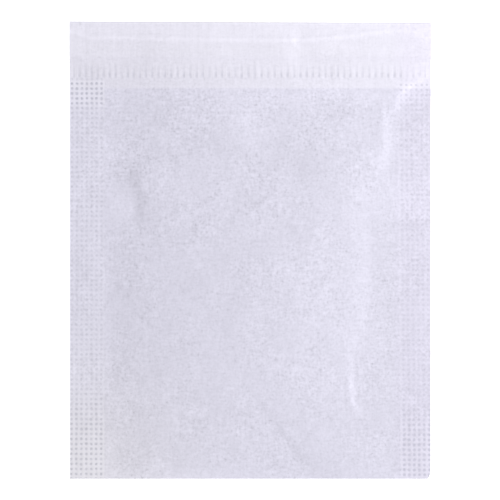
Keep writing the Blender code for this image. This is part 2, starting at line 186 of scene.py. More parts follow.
# Fibre: noise scale, detail, roughness, stretch, and how much it changes the lightness
SPECKLE = (2500, 2.0, 0.5, (1, 1, 1), 0.25)
ACROSS = (2300, 2.0, 0.6, (0.4, 1.0, 1.0), 0.19)
DOWN = (2100, 2.0, 0.6, (1.0, 0.4, 1.0), 0.19)
FORMATION = (300, 3.0, 0.6, (1, 1, 1), 0.12)
STREAKS = (2800, 1.0, 0.5, (1.0, 0.1, 0.1), 0.10)  # in the hems
PATCHES = (130, 2.0, 0.5)  # places with more and less of it
PATCH_STRENGTH = (0.35, 0.65, 0.75, 1.35)  # noise from and to, fibre's strength there
UPPER_STRENGTH = (0, 20 * MM, 0.93, 1.12)  # y from and to, fibre's strength there
HIDDEN_FIBRE = 0.6  # how much weaker it is in the hems
SPECKS, SPECK_LIGHT = (0.42, 0.22), -0.08  # noise of the dark specks, and their lightness
FIBRE_MIDDLE, STREAK_MIDDLE = 0.49, 0.5

# Colour of the dots and ticks, with distances from their middles in dots or ticks
STRAY, STRAY_SCALES = 0.2, (1400, 1700)
DOT_FADE, TICK_FADE, BETWEEN_DOTS = (0.345, 0.13), (0.27, 0.12), (0.2, 0.5)
MELTED = (0.3, 0.65, 0.55, 1.05)  # noise from and to, and how well the paper melted there
MELTED_SCALE = 1100
WHITE_START = (0.05, 0.3)  # seal strengths between which the paper between the dots turns whiter
WHITENED = (0.3, 1.0, 0.12, 0.6)  # seal strength from and to, and how white the paper gets there
TICK_COLOUR = 0.55
LESS_BLUE = (1.0, 1.0, 0.945, 1)
MORE_VIOLET = (1.0, 0.989, 1.005, 1)
VIOLET_START = mm(21, 24)  # x

# Stage
LAMP_SIZE = 0.15
LAMP_PLACE = (0.18, 0.01, 0.26)
CAMERA_X, CAMERA_Y = mm(-0.06, 0.10)
FLOOR_GLOW = 0.8
FLOOR_COLOUR = (0.9, 0.9, 0.9, 1)

# Folds of the front panel: places as x and depth in mm, half-width, ridge and rise in mm, lightness and
# contrast. The rise and the contrast are those of the line's left side over its right, seen along it. The
# lightness is painted light and shade along a fold, with some show-through of folded paper, and the contrast
# is a painted lit side and shaded side.
SOFT_FOLDS = (
    (((26, 8.5), (24.7, 9.2), (23.6, 10.2)), 0.45, 0.07, 0, 0, 0),
    (((24.5, 9.2), (23.7, 10.1), (23, 11.2), (22.4, 12.3), (21.8, 14)), 0.70, 0.08, 0, 0.155, 0),
    (((20.6, 12), (20.8, 19), (19.5, 23.6)), 1.15, 0.07, -0.12, 0.08, 0),
    (((20, 11.6), (20.1, 20.4)), 0.25, 0, 0, 0, 0.07),
    (((17.8, 29.5), (17.8, 42.4), (16.3, 50.5)), 0.50, 0, -0.10, 0, -0.045),
    (((14.7, 46), (14.9, 51), (14.8, 56.2)), 0.95, 0.04, -0.05, 0.035, 0),
    (((15.1, 53.8), (15.2, 56.5), (15.6, 58.2), (16.8, 59.9)), 0.40, 0.10, 0, 0.14, 0),
    (((0, 56.2), (4.6, 62.3), (8.3, 67), (10.3, 69.5)), 0.80, -0.05, 0.05, -0.06, 0.01),
    (((-17.9, 21.4), (-17.5, 24.6), (-16.8, 26.6), (-16.6, 31.2)), 0.95, 0, 0.12, -0.075, 0),
    (((-17.8, 26.4), (-17.7, 31.4)), 0.30, 0, 0, 0, -0.05),
    (((-20.7, 31), (-20.9, 66.5)), 0.40, 0, 0.04, 0, -0.01),
    (((-21.8, 42), (-21.7, 67)), 0.35, 0, 0, 0.015, 0),
    (((20.4, 30.3), (28.6, 29.9)), 0.35, 0, 0.06, 0, 0.08),
    (((-25.6, 8.7), (-22, 11.7)), 0.70, 0, 0, -0.08, 0),
    (((6, 1.8), (6.6, 3.2), (8, 4.8)), 0.25, 0.08, 0, 0.05, 0),
    (((11.5, 3.6), (13.1, 2.8)), 0.25, 0.06, 0, 0.02, 0),
)

# Patches: x and depth of the middle, half-width, half-height and rise in mm, and lightness. The lightness is
# painted light and shade over the soft relief, with some of the paper's own cloudiness.
CLOUDS_LIGHT_AND_SHADE = (
    (-19.8, 27.8, 2.2, 2.6, 0.06, 0.06), (-17.6, 22.4, 2, 1.6, 0, -0.035),
    (-12.2, 24.4, 2.4, 2.8, 0.04, 0.02), (-18.4, 49, 2.6, 20, 0, -0.022),
    (-7.6, 18.3, 2.4, 2.2, 0, -0.035), (-11.5, 13, 7, 2.4, 0, -0.03),
    (-18.6, 17.5, 3, 3, 0, 0.02), (-7.6, 57.3, 1.1, 1.1, 0, -0.035),
    (-1, 15, 3.6, 4, 0, 0.045), (8, 21, 5, 4.5, -0.03, -0.065),
    (1, 38, 6, 14, 0, -0.03), (13, 14, 4.6, 2.2, 0, -0.03),
    (16.6, 23, 2.4, 2.8, 0.05, 0.038), (14.9, 28, 1.8, 4, 0.05, 0.035),
    (15, 39, 1.7, 10, 0.05, 0.03), (23, 26.5, 4.6, 3.4, 0, 0.035),
    (23.2, 14.5, 3.6, 5, 0, -0.03), (24, 50, 4.2, 20, 0, -0.045),
    (18.8, 57.5, 2.4, 7, 0, -0.03), (25.8, 64.5, 3, 7, 0, -0.075),
    (10.5, 62.6, 3.6, 2.6, 0.04, 0), (10, 66, 5, 5, 0, -0.02),
    (22.1, 40, 1.6, 7, 0, -0.025), (7, 31, 4, 5, 0, -0.02),
    (16.5, 11.2, 5, 1.5, 0, 0.03), (24.4, 10.9, 3, 1.5, 0, 0.05),
    (25.3, 13.9, 2, 1.2, 0, -0.02), (7.6, 11.5, 2, 1.4, 0, 0.03),
    (2, 11.1, 24, 1.5, 0, 0.03), (0, 5.6, 60, 0.6, 0, 0.028),
    (0, 6.5, 60, 0.45, 0, -0.018), (-3.3, 3, 1.5, 4.5, 0, 0.022),
    (6.6, 5, 1.3, 4.5, 0, 0.045), (-15.5, 5, 2.6, 4, 0, -0.045),
    (8.4, 2.2, 1.2, 2.4, 0, -0.025), (-2.2, 1.6, 1, 1.6, 0, -0.02),
    (26, 3.5, 3, 4.5, 0, 0.02), (25.5, 8.6, 2.6, 1.3, 0, 0.03),
    (-25.6, 25, 2.4, 7, 0, 0.025), (-26, 53.5, 2.8, 5, 0, 0.035),
    (-26, 41.5, 3, 5, 0, -0.02), (-24.8, 61.6, 3, 1.7, 0, -0.035),
    (-26.9, 8.4, 1.4, 1.4, 0, 0.035), (-5.5, 1.6, 6, 1.8, 0, -0.022),
    (12.8, 69, 2, 1.5, 0, -0.03), (16.2, 61.9, 2, 1.4, 0, -0.03),
    (17, 52.4, 1.1, 2.2, 0, -0.04), (11.3, 56, 1.6, 1.6, 0, -0.03),
    (-5.4, 1.8, 1, 2.2, 0, 0.035), (-14.4, 1, 1.3, 1.6, 0, 0.02),
    (-19.5, 59.3, 1.6, 2.6, 0, 0.03), (-14.6, 67.5, 2, 1.4, 0, 0.025),
    (-23.6, 61, 1, 4, 0, -0.03), (24, 65.5, 1.2, 4.5, 0, -0.025),
    (27, 65, 1, 5, 0, 0.03), (-25, 67.5, 4, 4.5, 0, 0.06),
    (-20.8, 68.2, 1, 3.2, 0, 0.03), (-13.5, 70, 13.5, 2, 0, 0.09),
)
WARM_CORNER = (-27.5, 69, 16, 16)  # a less blue place: x, depth, half-width and half-height in mm


def size_property(name, description, default):
    return FloatProperty(name=name, description=description, default=default, unit="LENGTH", precision=5)


def colour_property(name, description, default):
    return FloatVectorProperty(name=name, description=description, default=default, subtype="COLOR", size=3)


class PaperSettings(bpy.types.PropertyGroup):
    """Sizes and colours of the filter paper."""

    thickness: size_property("Thickness", "Thickness of the paper", 0.12 * MM)
    hem_depth: size_property("Hem Depth", "From the mouth to the raw edges inside", 10 * MM)
    comb_depth: size_property("Comb Depth", "From the mouth to the ticks", 6.4 * MM)
    comb_length: size_property("Comb Length", "Length of the ticks", 2.25 * MM)
    tick_width: size_property("Tick Width", "Width of one tick", 0.4 * MM)
    tick_press: size_property("Tick Press", "How deep the ticks are at their lower ends", 0.04 * MM)
    raised_colour: colour_property(
        "Raised", "Colour between the dots where they are pressed hardest", (0.86, 0.845, 0.94)
    )
    thin_colour: colour_property(
        "Two Sheets", "Colour where two sheets lie on each other", (0.692, 0.679, 0.789)
    )
    thick_colour: colour_property("Four Sheets", "Colour where the hems lie inside", (0.795, 0.779, 0.874))
    pressed_colour: colour_property("Pressed", "Colour of the melted dots and ticks", (0.54, 0.54, 0.63))


class ThreadSettings(bpy.types.PropertyGroup):
    """Sizes and colour of the drawstring."""

    diameter: size_property("Diameter", "Diameter of the thread", 0.4 * MM)
    plies: IntProperty(name="Plies", description="Twisted strands in the thread", default=3, min=2, max=6)
    twist: size_property("Twist", "Length of one full twist", 1.3 * MM)
    colour: colour_property("Colour", "Colour of the cotton", (0.86, 0.86, 0.92))


class StageSettings(bpy.types.PropertyGroup):
    """Light, floor and camera."""

    sky: FloatProperty(name="Sky", description="Strength of the even light", default=0.385, min=0)
    lamp: FloatProperty(name="Lamp", description="Power of the lamp", default=0.84, unit="POWER", min=0)
    floor_size: size_property("Floor", "Side of the floor", 2.0)
    camera_height: size_property("Camera Height", "From the floor to the camera", 0.6)
    view_width: size_property("View Width", "Width that the camera sees", 76.13 * MM)


def ease(start, end, at):
    """0 up to start, 1 from end on, and smooth between them."""
    share = np.clip((np.asarray(at, float) - start) / (end - start), 0, 1)
    return 0.5 - 0.5 * np.cos(np.pi * share)


def fading(start, end, loss, at):
    """1 up to start, and less by the loss from end on."""
    return 1 - loss * ease(start, end, at)


def bell(at, half_width):
    """1 in the middle, and nearly 0 two half-widths away from it."""
    return np.exp(-((at / half_width) ** 2))


def steps(start, end, count):
    """count + 1 values from start to end."""
    return [start + (end - start) * i / count for i in range(count + 1)]


def smooth_run(points, count):
    """count places on a smooth curve through the points, its two ends among them."""
    ends = [points[0], *points, points[-1]]
    places = []
    for i in range(count):
        at = i * (len(points) - 1) / (count - 1)
        span = min(int(at), len(points) - 2)
        t = at - span
        a, b, c, d = ends[span : span + 4]
        places.append(
            tuple(
                0.5 * (2 * q + (r - p) * t + (2 * p - 5 * q + 4 * r - s) * t**2)
                + 0.5 * (3 * q - p - 3 * r + s) * t**3
                for p, q, r, s in zip(a, b, c, d)
            )
        )
    return places


class BagShape:
    """Where the folded strip of paper and the thread lie."""

    def __init__(self, paper, thread):
        self.sheet = paper.thickness
        self.hem_depth = paper.hem_depth
        self.comb_depth = paper.comb_depth
        self.comb_end = paper.comb_depth + paper.comb_length
        self.tunnel = thread.diameter + 2 * THREAD_PLAY
        self.top_radius = (self.tunnel + self.sheet) / 2
        self.bottom_radius = (SEAL_GAP + self.sheet) / 2
        self.top_fold_depth = self.top_radius + self.sheet / 2
        self.bottom_fold_depth = BAG_HEIGHT - self.bottom_radius - self.sheet / 2
        self.sealed_height = 1.5 * self.sheet + SEAL_GAP
        self.pocket_left = LEFT_EDGE + LEFT_SEAL
        self.pocket_right = RIGHT_EDGE - RIGHT_SEAL
        self.thread_radius = thread.diameter / 2
        front = self.hem_stack_height(self.top_fold_depth) - (self.sheet + self.tunnel) / 2
        back = self.sheet + self.tunnel / 2
        self.turn_radius = float(front - back) / 2
        self.turn_height = float(front + back) / 2
        self.turn_x = RIGHT_EDGE - LOOP_INSET - self.thread_radius - self.turn_radius
        self.front_run = self.thread_run(FRONT_ROUTE, FRONT_TUNNEL_DEPTH)
        self.back_run = self.thread_run(BACK_ROUTE, BACK_TUNNEL_DEPTH)

    def tunnel_height(self, depth, full_depth):
        return self.tunnel + (SEAL_GAP - self.tunnel) * ease(full_depth, self.comb_depth, depth)

    def back_hem_height(self, depth):
        return 1.5 * self.sheet + self.tunnel_height(depth, BACK_TUNNEL_DEPTH)

    def front_hem_height(self, depth):
        return self.back_hem_height(depth) + self.sheet + MOUTH_GAP

    def hem_stack_height(self, depth):
        return self.front_hem_height(depth) + self.sheet + self.tunnel_height(depth, FRONT_TUNNEL_DEPTH)

    def thread_run(self, route, full_depth):
        """The thread's places (x, depth) in one tunnel, from the left turn to the right one."""
        reach = full_depth - self.thread_radius - THREAD_PLAY - self.top_fold_depth
        inner = [((2 * x - 1) * self.turn_x, self.top_fold_depth + d * reach) for x, d in route]
        ends = (-self.turn_x, LEFT_TURN_DEPTH), (self.turn_x, RIGHT_TURN_DEPTH)
        return smooth_run([ends[0], *inner, ends[1]], RUN_PLACES)

    def from_thread(self, x, depth, run):
        """How far down the bag each place lies from one run of the thread."""
        xs, depths = zip(*run)
        return depth - np.interp(x, xs, depths)

    def pocket_creases(self, x, depth):
        """Height that the large soft folds add to the full pocket."""
        total = np.zeros_like(x)
        for (x_1, depth_1), (x_2, depth_2), height, half_width in POCKET_CREASES:
            start = (LEFT_EDGE + x_1 * BAG_WIDTH, depth_1 * BAG_HEIGHT)
            end = (LEFT_EDGE + x_2 * BAG_WIDTH, depth_2 * BAG_HEIGHT)
            away, _ = from_line(x, depth, (start, end))
            total += height * MM * bell(away, half_width * MM)
        return total

    def front_height(self, x, depth):
        """Middle of the front panel: over the hems, then a belly between the two side seals."""
        across = np.clip((x - self.pocket_left) / (self.pocket_right - self.pocket_left), 0, 1)
        down = np.clip((depth - self.hem_depth) / (self.bottom_fold_depth - self.hem_depth), 0, 1)
        middle = np.maximum(np.sin(np.pi * across), 0) ** PUFF_POWER
        belly = middle * np.maximum(np.sin(np.pi * down), 0) ** PUFF_POWER
        at_seals = 1 - ease(self.hem_depth, self.hem_depth + HEM_RAMP, depth)
        at_middle = 1 - ease(self.hem_depth, self.hem_depth + POCKET_RAMP, depth)
        drop = self.hem_stack_height(self.hem_depth) - self.sealed_height
        step = drop * (at_seals + (at_middle - at_seals) * middle)
        below = self.sealed_height + step + (POCKET_RISE + self.pocket_creases(x, depth)) * belly
        return np.where(depth <= self.hem_depth, self.hem_stack_height(depth), below)


def from_line(x, depth, points):
    """Distance from a line through the points, and its side from -1 to 1: 1 is left, seen along it."""
    nearest = np.full_like(x, np.inf)
    side = np.zeros_like(x)
    for (x_1, depth_1), (x_2, depth_2) in zip(points, points[1:]):
        run = (x_2 - x_1, depth_2 - depth_1)
        length = math.hypot(*run)
        away = (x - x_1, depth - depth_1)
        share = np.clip((away[0] * run[0] + away[1] * run[1]) / length**2, 0, 1)
        distance = np.hypot(away[0] - share * run[0], away[1] - share * run[1])
        turn = (away[0] * run[1] - away[1] * run[0]) / length
        closer = distance < nearest
        nearest = np.where(closer, distance, nearest)
        side = np.where(closer, turn / np.maximum(distance, 1e-9), side)
    return nearest, np.clip(side, -1, 1)


def along_line(x, depth, points):
    """0 at a line's ends and 1 along its middle, so that a fold dies away at both ends."""
    start, end = points[0], points[-1]
    run = (end[0] - start[0], end[1] - start[1])
    share = ((x - start[0]) * run[0] + (depth - start[1]) * run[1]) / (run[0] ** 2 + run[1] ** 2)
    return ease(*FADE_IN, share) * (1 - ease(*FADE_OUT, share))


def fold_relief(x, depth):
    """Height that the soft folds and the patches give the front panel, and the light and shade painted with
    them.
    """
    height, light = np.zeros_like(x), np.zeros_like(x)
    for points, half_width, ridge, rise, lightness, contrast in SOFT_FOLDS:
        points = [mm(*point) for point in points]
        away, side = from_line(x, depth, points)
        share = away / (half_width * MM)
        middle = along_line(x, depth, points)
        bump = bell(share, 1) * middle
        across = 0.5 * side * np.tanh(share) * bell(share, SIDE_REACH) * middle
        height += ridge * MM * bump + rise * MM * across
        # painted light and shade: along the fold, and a lit side against a shaded side
        light += lightness * bump + contrast * across
    for middle_x, middle_depth, half_width, half_height, rise, lightness in CLOUDS_LIGHT_AND_SHADE:
        bump = bell(x / MM - middle_x, half_width) * bell(depth / MM - middle_depth, half_height)
        height += rise * MM * bump
        # painted light and shade of the patch, partly the paper's own cloudiness
        light += lightness * bump
    return height, light


def strip_rows(shape):
    """(depth, height, sheet) along the strip: sheet is 0 on the back hem, 1 back, 2 front, 3 front hem."""
    first, last, count, _ = LEFT_ROWS
    pitch = (last - first) / (count - 1)
    cells = [first + (i - 0.5) * pitch for i in range(count + 1)]
    hem = steps(shape.top_fold_depth, cells[0], HEM_ROWS)[:-1]
    panel = [*hem, *cells, shape.bottom_fold_depth]
    tail = steps(shape.top_fold_depth, shape.hem_depth, HEM_ROWS)
    turns = [math.pi * i / FOLD_STEPS for i in range(1, FOLD_STEPS)]
    bottom_turns = [math.pi * i / BOTTOM_FOLD_STEPS for i in range(1, BOTTOM_FOLD_STEPS)]

    def fold(depth, radius, low, way, turns, sheet):
        points = [(way * radius * math.sin(turn), radius * (1 + way * math.cos(turn))) for turn in turns]
        return [(depth - out, low + up, sheet) for out, up in points]

    def top_fold(low, sheet):
        return fold(shape.top_fold_depth, shape.top_radius, low, 1, turns, sheet)

    rows = [(depth, shape.back_hem_height(depth), 0) for depth in reversed(tail)]
    rows += top_fold(shape.sheet / 2, 0.5)
    rows += [(depth, shape.sheet / 2, 1) for depth in panel]
    rows += fold(shape.bottom_fold_depth, shape.bottom_radius, shape.sheet / 2, -1, bottom_turns, 1.5)
    rows += [(depth, 0, 2) for depth in reversed(panel)]  # folded_strip gives these their heights
    rows += top_fold(float(shape.front_hem_height(shape.top_fold_depth)), 2.5)
    rows += [(depth, shape.front_hem_height(depth), 3) for depth in tail]
    return rows


def along_y(x, depth):
    """y of a place on the bag, whose mouth leans a little."""
    lean = MOUTH_LEAN * x / BAG_WIDTH * (1 - ease(0, MOUTH_LEAN_DEPTH, depth))
    return BAG_HEIGHT / 2 - depth - float(lean)


def dot_line(dots, column, depth):
    """x of a line of dots that leans a little, as counted from the left of its seal."""
    (top_first, top_last), (bottom_first, bottom_last), count = dots
    down = np.clip((depth - LEFT_ROWS[0]) / (LEFT_ROWS[1] - LEFT_ROWS[0]), 0, 1)
    first = top_first + (bottom_first - top_first) * down
    last = top_last + (bottom_last - top_last) * down
    return first + (last - first) * column / (count - 1)


def column_place(column, depth):
    """x of one column line of the grid at a depth."""
    left_count, right_count = LEFT_DOTS[2], RIGHT_DOTS[2]
    left_end = dot_line(LEFT_DOTS, left_count - 0.5, depth)
    right_start = dot_line(RIGHT_DOTS, -0.5, depth)
    if column == 0:
        return LEFT_EDGE
    if column < left_count:
        return dot_line(LEFT_DOTS, column - 0.5, depth)
    if column <= left_count + BODY_COLUMNS:
        return left_end + (right_start - left_end) * (column - left_count) / BODY_COLUMNS
    if column < left_count + BODY_COLUMNS + right_count:
        return dot_line(RIGHT_DOTS, column - left_count - BODY_COLUMNS - 0.5, depth)
    rounding = float(np.clip((depth - CORNER_DEPTH) / (BAG_HEIGHT - CORNER_DEPTH), 0, 1))
    return RIGHT_EDGE - CORNER_CUT * (1 - math.sqrt(1 - rounding**2))


def folded_strip(shape):
    """The middle surface of the paper: a flat grid, bent along the strip's rows."""
    rows = strip_rows(shape)
    across = LEFT_DOTS[2] + BODY_COLUMNS + RIGHT_DOTS[2]
    along = len(rows) - 1
    strip = bmesh.new()
    bmesh.ops.create_grid(strip, x_segments=across, y_segments=along, size=0.5)
    depth_layer = strip.verts.layers.float.new("depth")
    sheet_layer = strip.verts.layers.float.new("sheet")
    for vert in strip.verts:
        depth, height, sheet = rows[round((vert.co.y + 0.5) * along)]
        x = column_place(round((vert.co.x + 0.5) * across), depth)
        vert.co = (x, along_y(x, depth), height)
        vert[depth_layer] = depth
        vert[sheet_layer] = sheet
    verts = [vert for vert in strip.verts if vert[sheet_layer] == 2]
    x = np.array([vert.co.x for vert in verts])
    depth = np.array([vert[depth_layer] for vert in verts])
    heights = shape.front_height(x, depth) + panel_relief(shape, x, depth)[0]
    for vert, height in zip(verts, heights):
        vert.co.z = height
    return strip


def cockle_at(x, depth):
    """Light waves of the paper, from about -1 to 1."""
    waves = [(size, Vector((x * across, depth * down, at))) for across, down, at, size in COCKLES]
    return sum(size * noise.noise(place) for size, place in waves)


def panel_relief(shape, x, depth):
    """Height of the front panel's own folds, with the thread's ridge in the hem, and the light and shade
    painted along the folds and patches.
    """
    height, light = fold_relief(x, depth)
    in_body = ease(shape.hem_depth, shape.hem_depth + BODY_RUN, depth)
    flat_ends = ease(0, FLAT_SIDE, RIGHT_EDGE - np.abs(x)) * (1 - ease(*FLAT_BOTTOM, depth))
    height = height * flat_ends
    step = RAW_EDGE_STEP * (1 - ease(0, RAW_EDGE_FADE, depth - shape.hem_depth))
    step = step * ease(shape.hem_depth, shape.hem_depth + RAW_EDGE_RUN, depth)
    away = shape.from_thread(x, depth, shape.front_run)
    in_tunnel = ease(*DRAPE_TOP, depth) * (1 - ease(FRONT_TUNNEL_DEPTH, shape.comb_depth, depth))
    drape = THREAD_DRAPE * (1 - bell(away, THREAD_DRAPE_WIDTH)) * in_tunnel
    drape = drape * fading(*DRAPE_RIGHT, x) * ease(*DRAPE_LEFT, x - LEFT_EDGE)
    cockle = np.array([cockle_at(*place) for place in zip(x, depth)])
    height = height + cockle * (HEM_COCKLE + BODY_COCKLE * in_body) * flat_ends - step - drape
    return height, light


def faces_between(mesh, test):
    """Faces whose vertices all pass the test."""
    return [face for face in mesh.faces if all(test(vert) for vert in face.verts)]


def split(mesh, faces, cuts):
    """Splits the faces both ways."""
    edges = list({edge for face in faces for edge in face.edges})
    bmesh.ops.subdivide_edges(mesh, edges=edges, cuts=cuts, use_grid_fill=True)


def split_across(mesh, faces, cuts):
    """Splits the faces from side to side only."""

    def is_level(edge):
        run = edge.verts[0].co - edge.verts[1].co
        return abs(run.x) > abs(run.y)

    level = [edge for edge in {edge for face in faces for edge in face.edges} if is_level(edge)]
    bmesh.ops.subdivide_edges(mesh, edges=level, cuts=cuts, use_grid_fill=True)


def cut_notches(strip, shape, sheet_layer):
    """Takes the thread's way round out of both hems at their ends."""

    def in_hem(face):
        sheets = [vert[sheet_layer] for vert in face.verts]
        return max(sheets) < 0.9 or min(sheets) > 2.1

    for side, depth in ((-1, LEFT_TURN_DEPTH), (1, RIGHT_TURN_DEPTH)):
        middle = along_y(side * shape.turn_x, depth)
        low, high = middle - NOTCH_HEIGHT / 2, middle + NOTCH_HEIGHT / 2

        def at_turn(face):
            return any(side * vert.co.x > shape.turn_x - MM for vert in face.verts)

        near = [face for face in strip.faces if in_hem(face) and at_turn(face)]
        pieces = list({*near, *(e for f in near for e in f.edges), *(v for f in near for v in f.verts)})
        across, down = (1, 0, 0), (0, 1, 0)
        cuts = (((side * shape.turn_x, 0, 0), across), ((0, low, 0), down), ((0, high, 0), down))
        for place, normal in cuts:
            cut = bmesh.ops.bisect_plane(strip, geom=pieces, dist=SAME_PLACE, plane_co=place, plane_no=normal)
            pieces = cut["geom"]
        gone = []
        for face in pieces:
            if not isinstance(face, bmesh.types.BMFace):
                continue
            middle = face.calc_center_median()
            inside = side * middle.x > shape.turn_x and low < middle.y < high
            if inside and abs(middle.z - shape.turn_height) < shape.turn_radius:
                gone.append(face)
        bmesh.ops.delete(strip, geom=gone, context="FACES")


def finished(mesh, name):
    """The mesh, as data that an object can have."""
    data = bpy.data.meshes.new(name)
    mesh.to_mesh(data)
    mesh.free()
    return data


def thickened(strip, thickness):
    """A new mesh of the strip with its thickness, and how many vertices one side of it has."""
    data = finished(strip, "folded strip")
    helper = bpy.data.objects.new("folded strip", data)
    bpy.context.scene.collection.objects.link(helper)
    solidify = helper.modifiers.new("paper thickness", "SOLIDIFY")
    solidify.thickness = thickness
    solidify.offset = 0
    solidify.use_even_offset = True
    made = bpy.data.meshes.new_from_object(helper.evaluated_get(bpy.context.evaluated_depsgraph_get()))
    count = len(data.vertices)
    bpy.data.objects.remove(helper)
    bpy.data.meshes.remove(data)
    return made, count


def tick_profile(shape, x, depth):
    """How hard the comb pressed at a depth: faint at the top of a tick, hardest near its lower end."""
    to_end = shape.comb_end - depth
    upper = TICK_TOP_PRESS * ease(*TICK_TOP, depth - shape.comb_depth)
    lower = TICK_FOOT_PRESS * (1 - ease(*TICK_FOOT, to_end))
    return (upper + lower) * ease(*TICK_STOP, to_end) * fading(*TICK_RIGHT, x)


def tick_number(x):
    """Place counted in ticks: a whole number is the middle of a tick."""
    return np.interp(x, TICK_PLACES, TICK_NUMBERS, left=-0.5, right=TICK_NUMBERS[-1] + 0.5)


def dot_cells(x, depth):
    """Places counted in dots: a whole number of columns and rows is the middle of a dot."""
    cells = []
    for dots, (first_depth, last_depth, rows, closer) in ((LEFT_DOTS, LEFT_ROWS), (RIGHT_DOTS, RIGHT_ROWS)):
        first, last = dot_line(dots, 0, depth), dot_line(dots, dots[2] - 1, depth)
        down = (depth - first_depth) / (last_depth - first_depth)
        down = down + closer * down * (1 - down)
        cells.append(((x - first) / (last - first) * (dots[2] - 1), down * (rows - 1)))
    left, right = cells
    return np.where(x < 0, left[0], right[0]), np.where(x < 0, left[1], right[1])


def strength_down(strength, depth):
    """How clearly the dots of one seal show down the bag."""
    everywhere, (top, top_start, top_end), (bottom, bottom_start, bottom_end) = strength
    more_at_top = top * (1 - ease(top_start, top_end, depth))
    return everywhere + more_at_top + bottom * ease(bottom_start, bottom_end, depth)


def seal_strength(x, depth, cell_x, cell_y, last):
    """How clearly the dots show: at the top of the left seal and at both lower corners they are boldest."""
    before, after = SEAL_EDGES
    within = (cell_x > before) & (cell_x < last + after)
    rows = sum(share * ease(start, end, cell_y) for share, start, end in SEAL_START)
    down = np.where(x < 0, strength_down(LEFT_STRENGTH, depth), strength_down(RIGHT_STRENGTH, depth))
    return within * rows * down


def pressed(share):
    """A soft pit: 1 in the middle and 0 at share 1."""
    return np.where(share < 1, 0.5 + 0.5 * np.cos(np.pi * np.minimum(share, 1)), 0)


def lightness_of(shape, x, depth, sheet, over_hem, light):
    """The whole lightness of the paper: the light and shade painted on its folds and patches, its turned
    edges, its left rim and its lower hem, with that of the thread, the hem and the seal.
    """
    on_front = np.abs(sheet - 2) < 0.6
    away = shape.from_thread(x, depth, shape.front_run)
    away_back = shape.from_thread(x, depth, shape.back_run)
    line = THREAD_LIGHT * bell(away, THREAD_LIGHT_WIDTH) * on_front * fading(*THREAD_LIGHT_RIGHT, x)
    faint = BACK_THREAD_LIGHT * bell(away_back, BACK_THREAD_WIDTH) * on_front * ease(*BACK_THREAD_SEEN, x)
    tunnel = TUNNEL_LIGHT * (1 - ease(*TUNNEL_LIGHT_END, away)) * over_hem
    # painted shade down the lower hem, most at the left, with faint painted light at the right
    hem_shade = HEM_SHADE * (HEM_SHADE_MIDDLE - HEM_SHADE_SLOPE * x / BAG_WIDTH) * ease(*HEM_SHADE_DEPTHS, depth) * over_hem
    # painted light on both turned edges
    at_fold = FOLD_LIGHT * (1 - ease(*FOLD_LIGHT_RUN, np.abs(np.abs(sheet - 2) - 0.5)))
    # painted light along the left edge
    rim = RIM_LIGHT * (1 - ease(*RIM_RUN, x - LEFT_EDGE))
    in_seal = SEAL_LIGHT * (1 - ease(*SEAL_LIGHT_RUN, x - shape.pocket_left)) * (1 - over_hem)
    return np.where(on_front, light + in_seal + rim, 0) + line + faint + tunnel + hem_shade + at_fold


def layer_values(mesh, name):
    """The number that a layer has at each vertex."""
    layer = mesh.verts.layers.float[name]
    return np.array([vert[layer] for vert in mesh.verts])


def detail(mesh, shape, paper):
    """Presses the dots and ticks, and writes the numbers that the paper's material reads."""
    mesh.verts.ensure_lookup_table()
    place = np.array([vert.co for vert in mesh.verts])
    x = place[:, 0]
    depth, sheet = layer_values(mesh, "depth"), layer_values(mesh, "sheet")
    outer = layer_values(mesh, "outer") > 0.99
    front = outer & (np.abs(sheet - 2) < SAME_SHEET)
    back = outer & (np.abs(sheet - 1) < SAME_SHEET)

    relief, light = panel_relief(shape, x, depth)
    height = shape.front_height(x, depth) + relief + shape.sheet / 2
    cell_x, cell_y = dot_cells(x, depth)
    off = np.hypot(cell_x - np.round(cell_x), cell_y - np.round(cell_y))
    last = np.where(x < 0, LEFT_DOTS[2] - 1, RIGHT_DOTS[2] - 1)
    in_seal = (np.round(cell_x) >= 0) & (np.round(cell_x) <= last) & (np.round(cell_y) >= -1)
    seal = seal_strength(x, depth, cell_x, cell_y, last)
    dots = pressed(off / DOT_RADIUS) * in_seal * np.minimum(seal * FULL_PRESS, 1)
    tick = tick_number(x)
    from_tick = np.abs(tick - np.round(tick)) * MM
    comb = tick_profile(shape, x, depth)
    ticks = comb * pressed(from_tick / (TICK_FLANK * paper.tick_width))
    press = DOT_PRESS * dots + paper.tick_press * ticks

    z = np.where(front, height - press, place[:, 2])
    z = np.where(back, place[:, 2] + press * BACK_PRESS, z)
    for vert, value in zip(mesh.verts, z):
        vert.co.z = value

    over_hem = 1 - ease(*HEM_EDGE, depth - shape.hem_depth)
    layers = np.where((sheet > 0.4) & (sheet < 2.6), over_hem * fading(*WELDED, depth), 1)
    light = lightness_of(shape, x, depth, sheet, over_hem, light)
    corner_x, corner_depth, half_width, half_height = mm(*WARM_CORNER)
    warmth = bell(x - corner_x, half_width) * bell(depth - corner_depth, half_height)
    values = {
        "layers": layers,
        "light": light,
        "seal": np.where(front | back, seal, 0),
        "raised": seal * np.where(x < 0, 1, RIGHT_RAISED),
        "comb": np.where(front | back, comb, 0),
        "tick": tick,
        "warmth": np.where(np.abs(sheet - 2) < 0.6, warmth, 0),
    }
    for name, numbers in values.items():
        layer = mesh.verts.layers.float.new(name)
        for vert, number in zip(mesh.verts, numbers):
            vert[layer] = number
    uv = mesh.loops.layers.uv.new("dot_cells")
    for face in mesh.faces:
        for loop in face.loops:
            index = loop.vert.index
            loop[uv].uv = (cell_x[index], cell_y[index])


def add_piece(name, data, material):
    """An object with the mesh and one material, at the origin."""
    obj = bpy.data.objects.new(name, data)
    bpy.context.scene.collection.objects.link(obj)
    data.materials.clear()
    data.materials.append(material)
    return obj


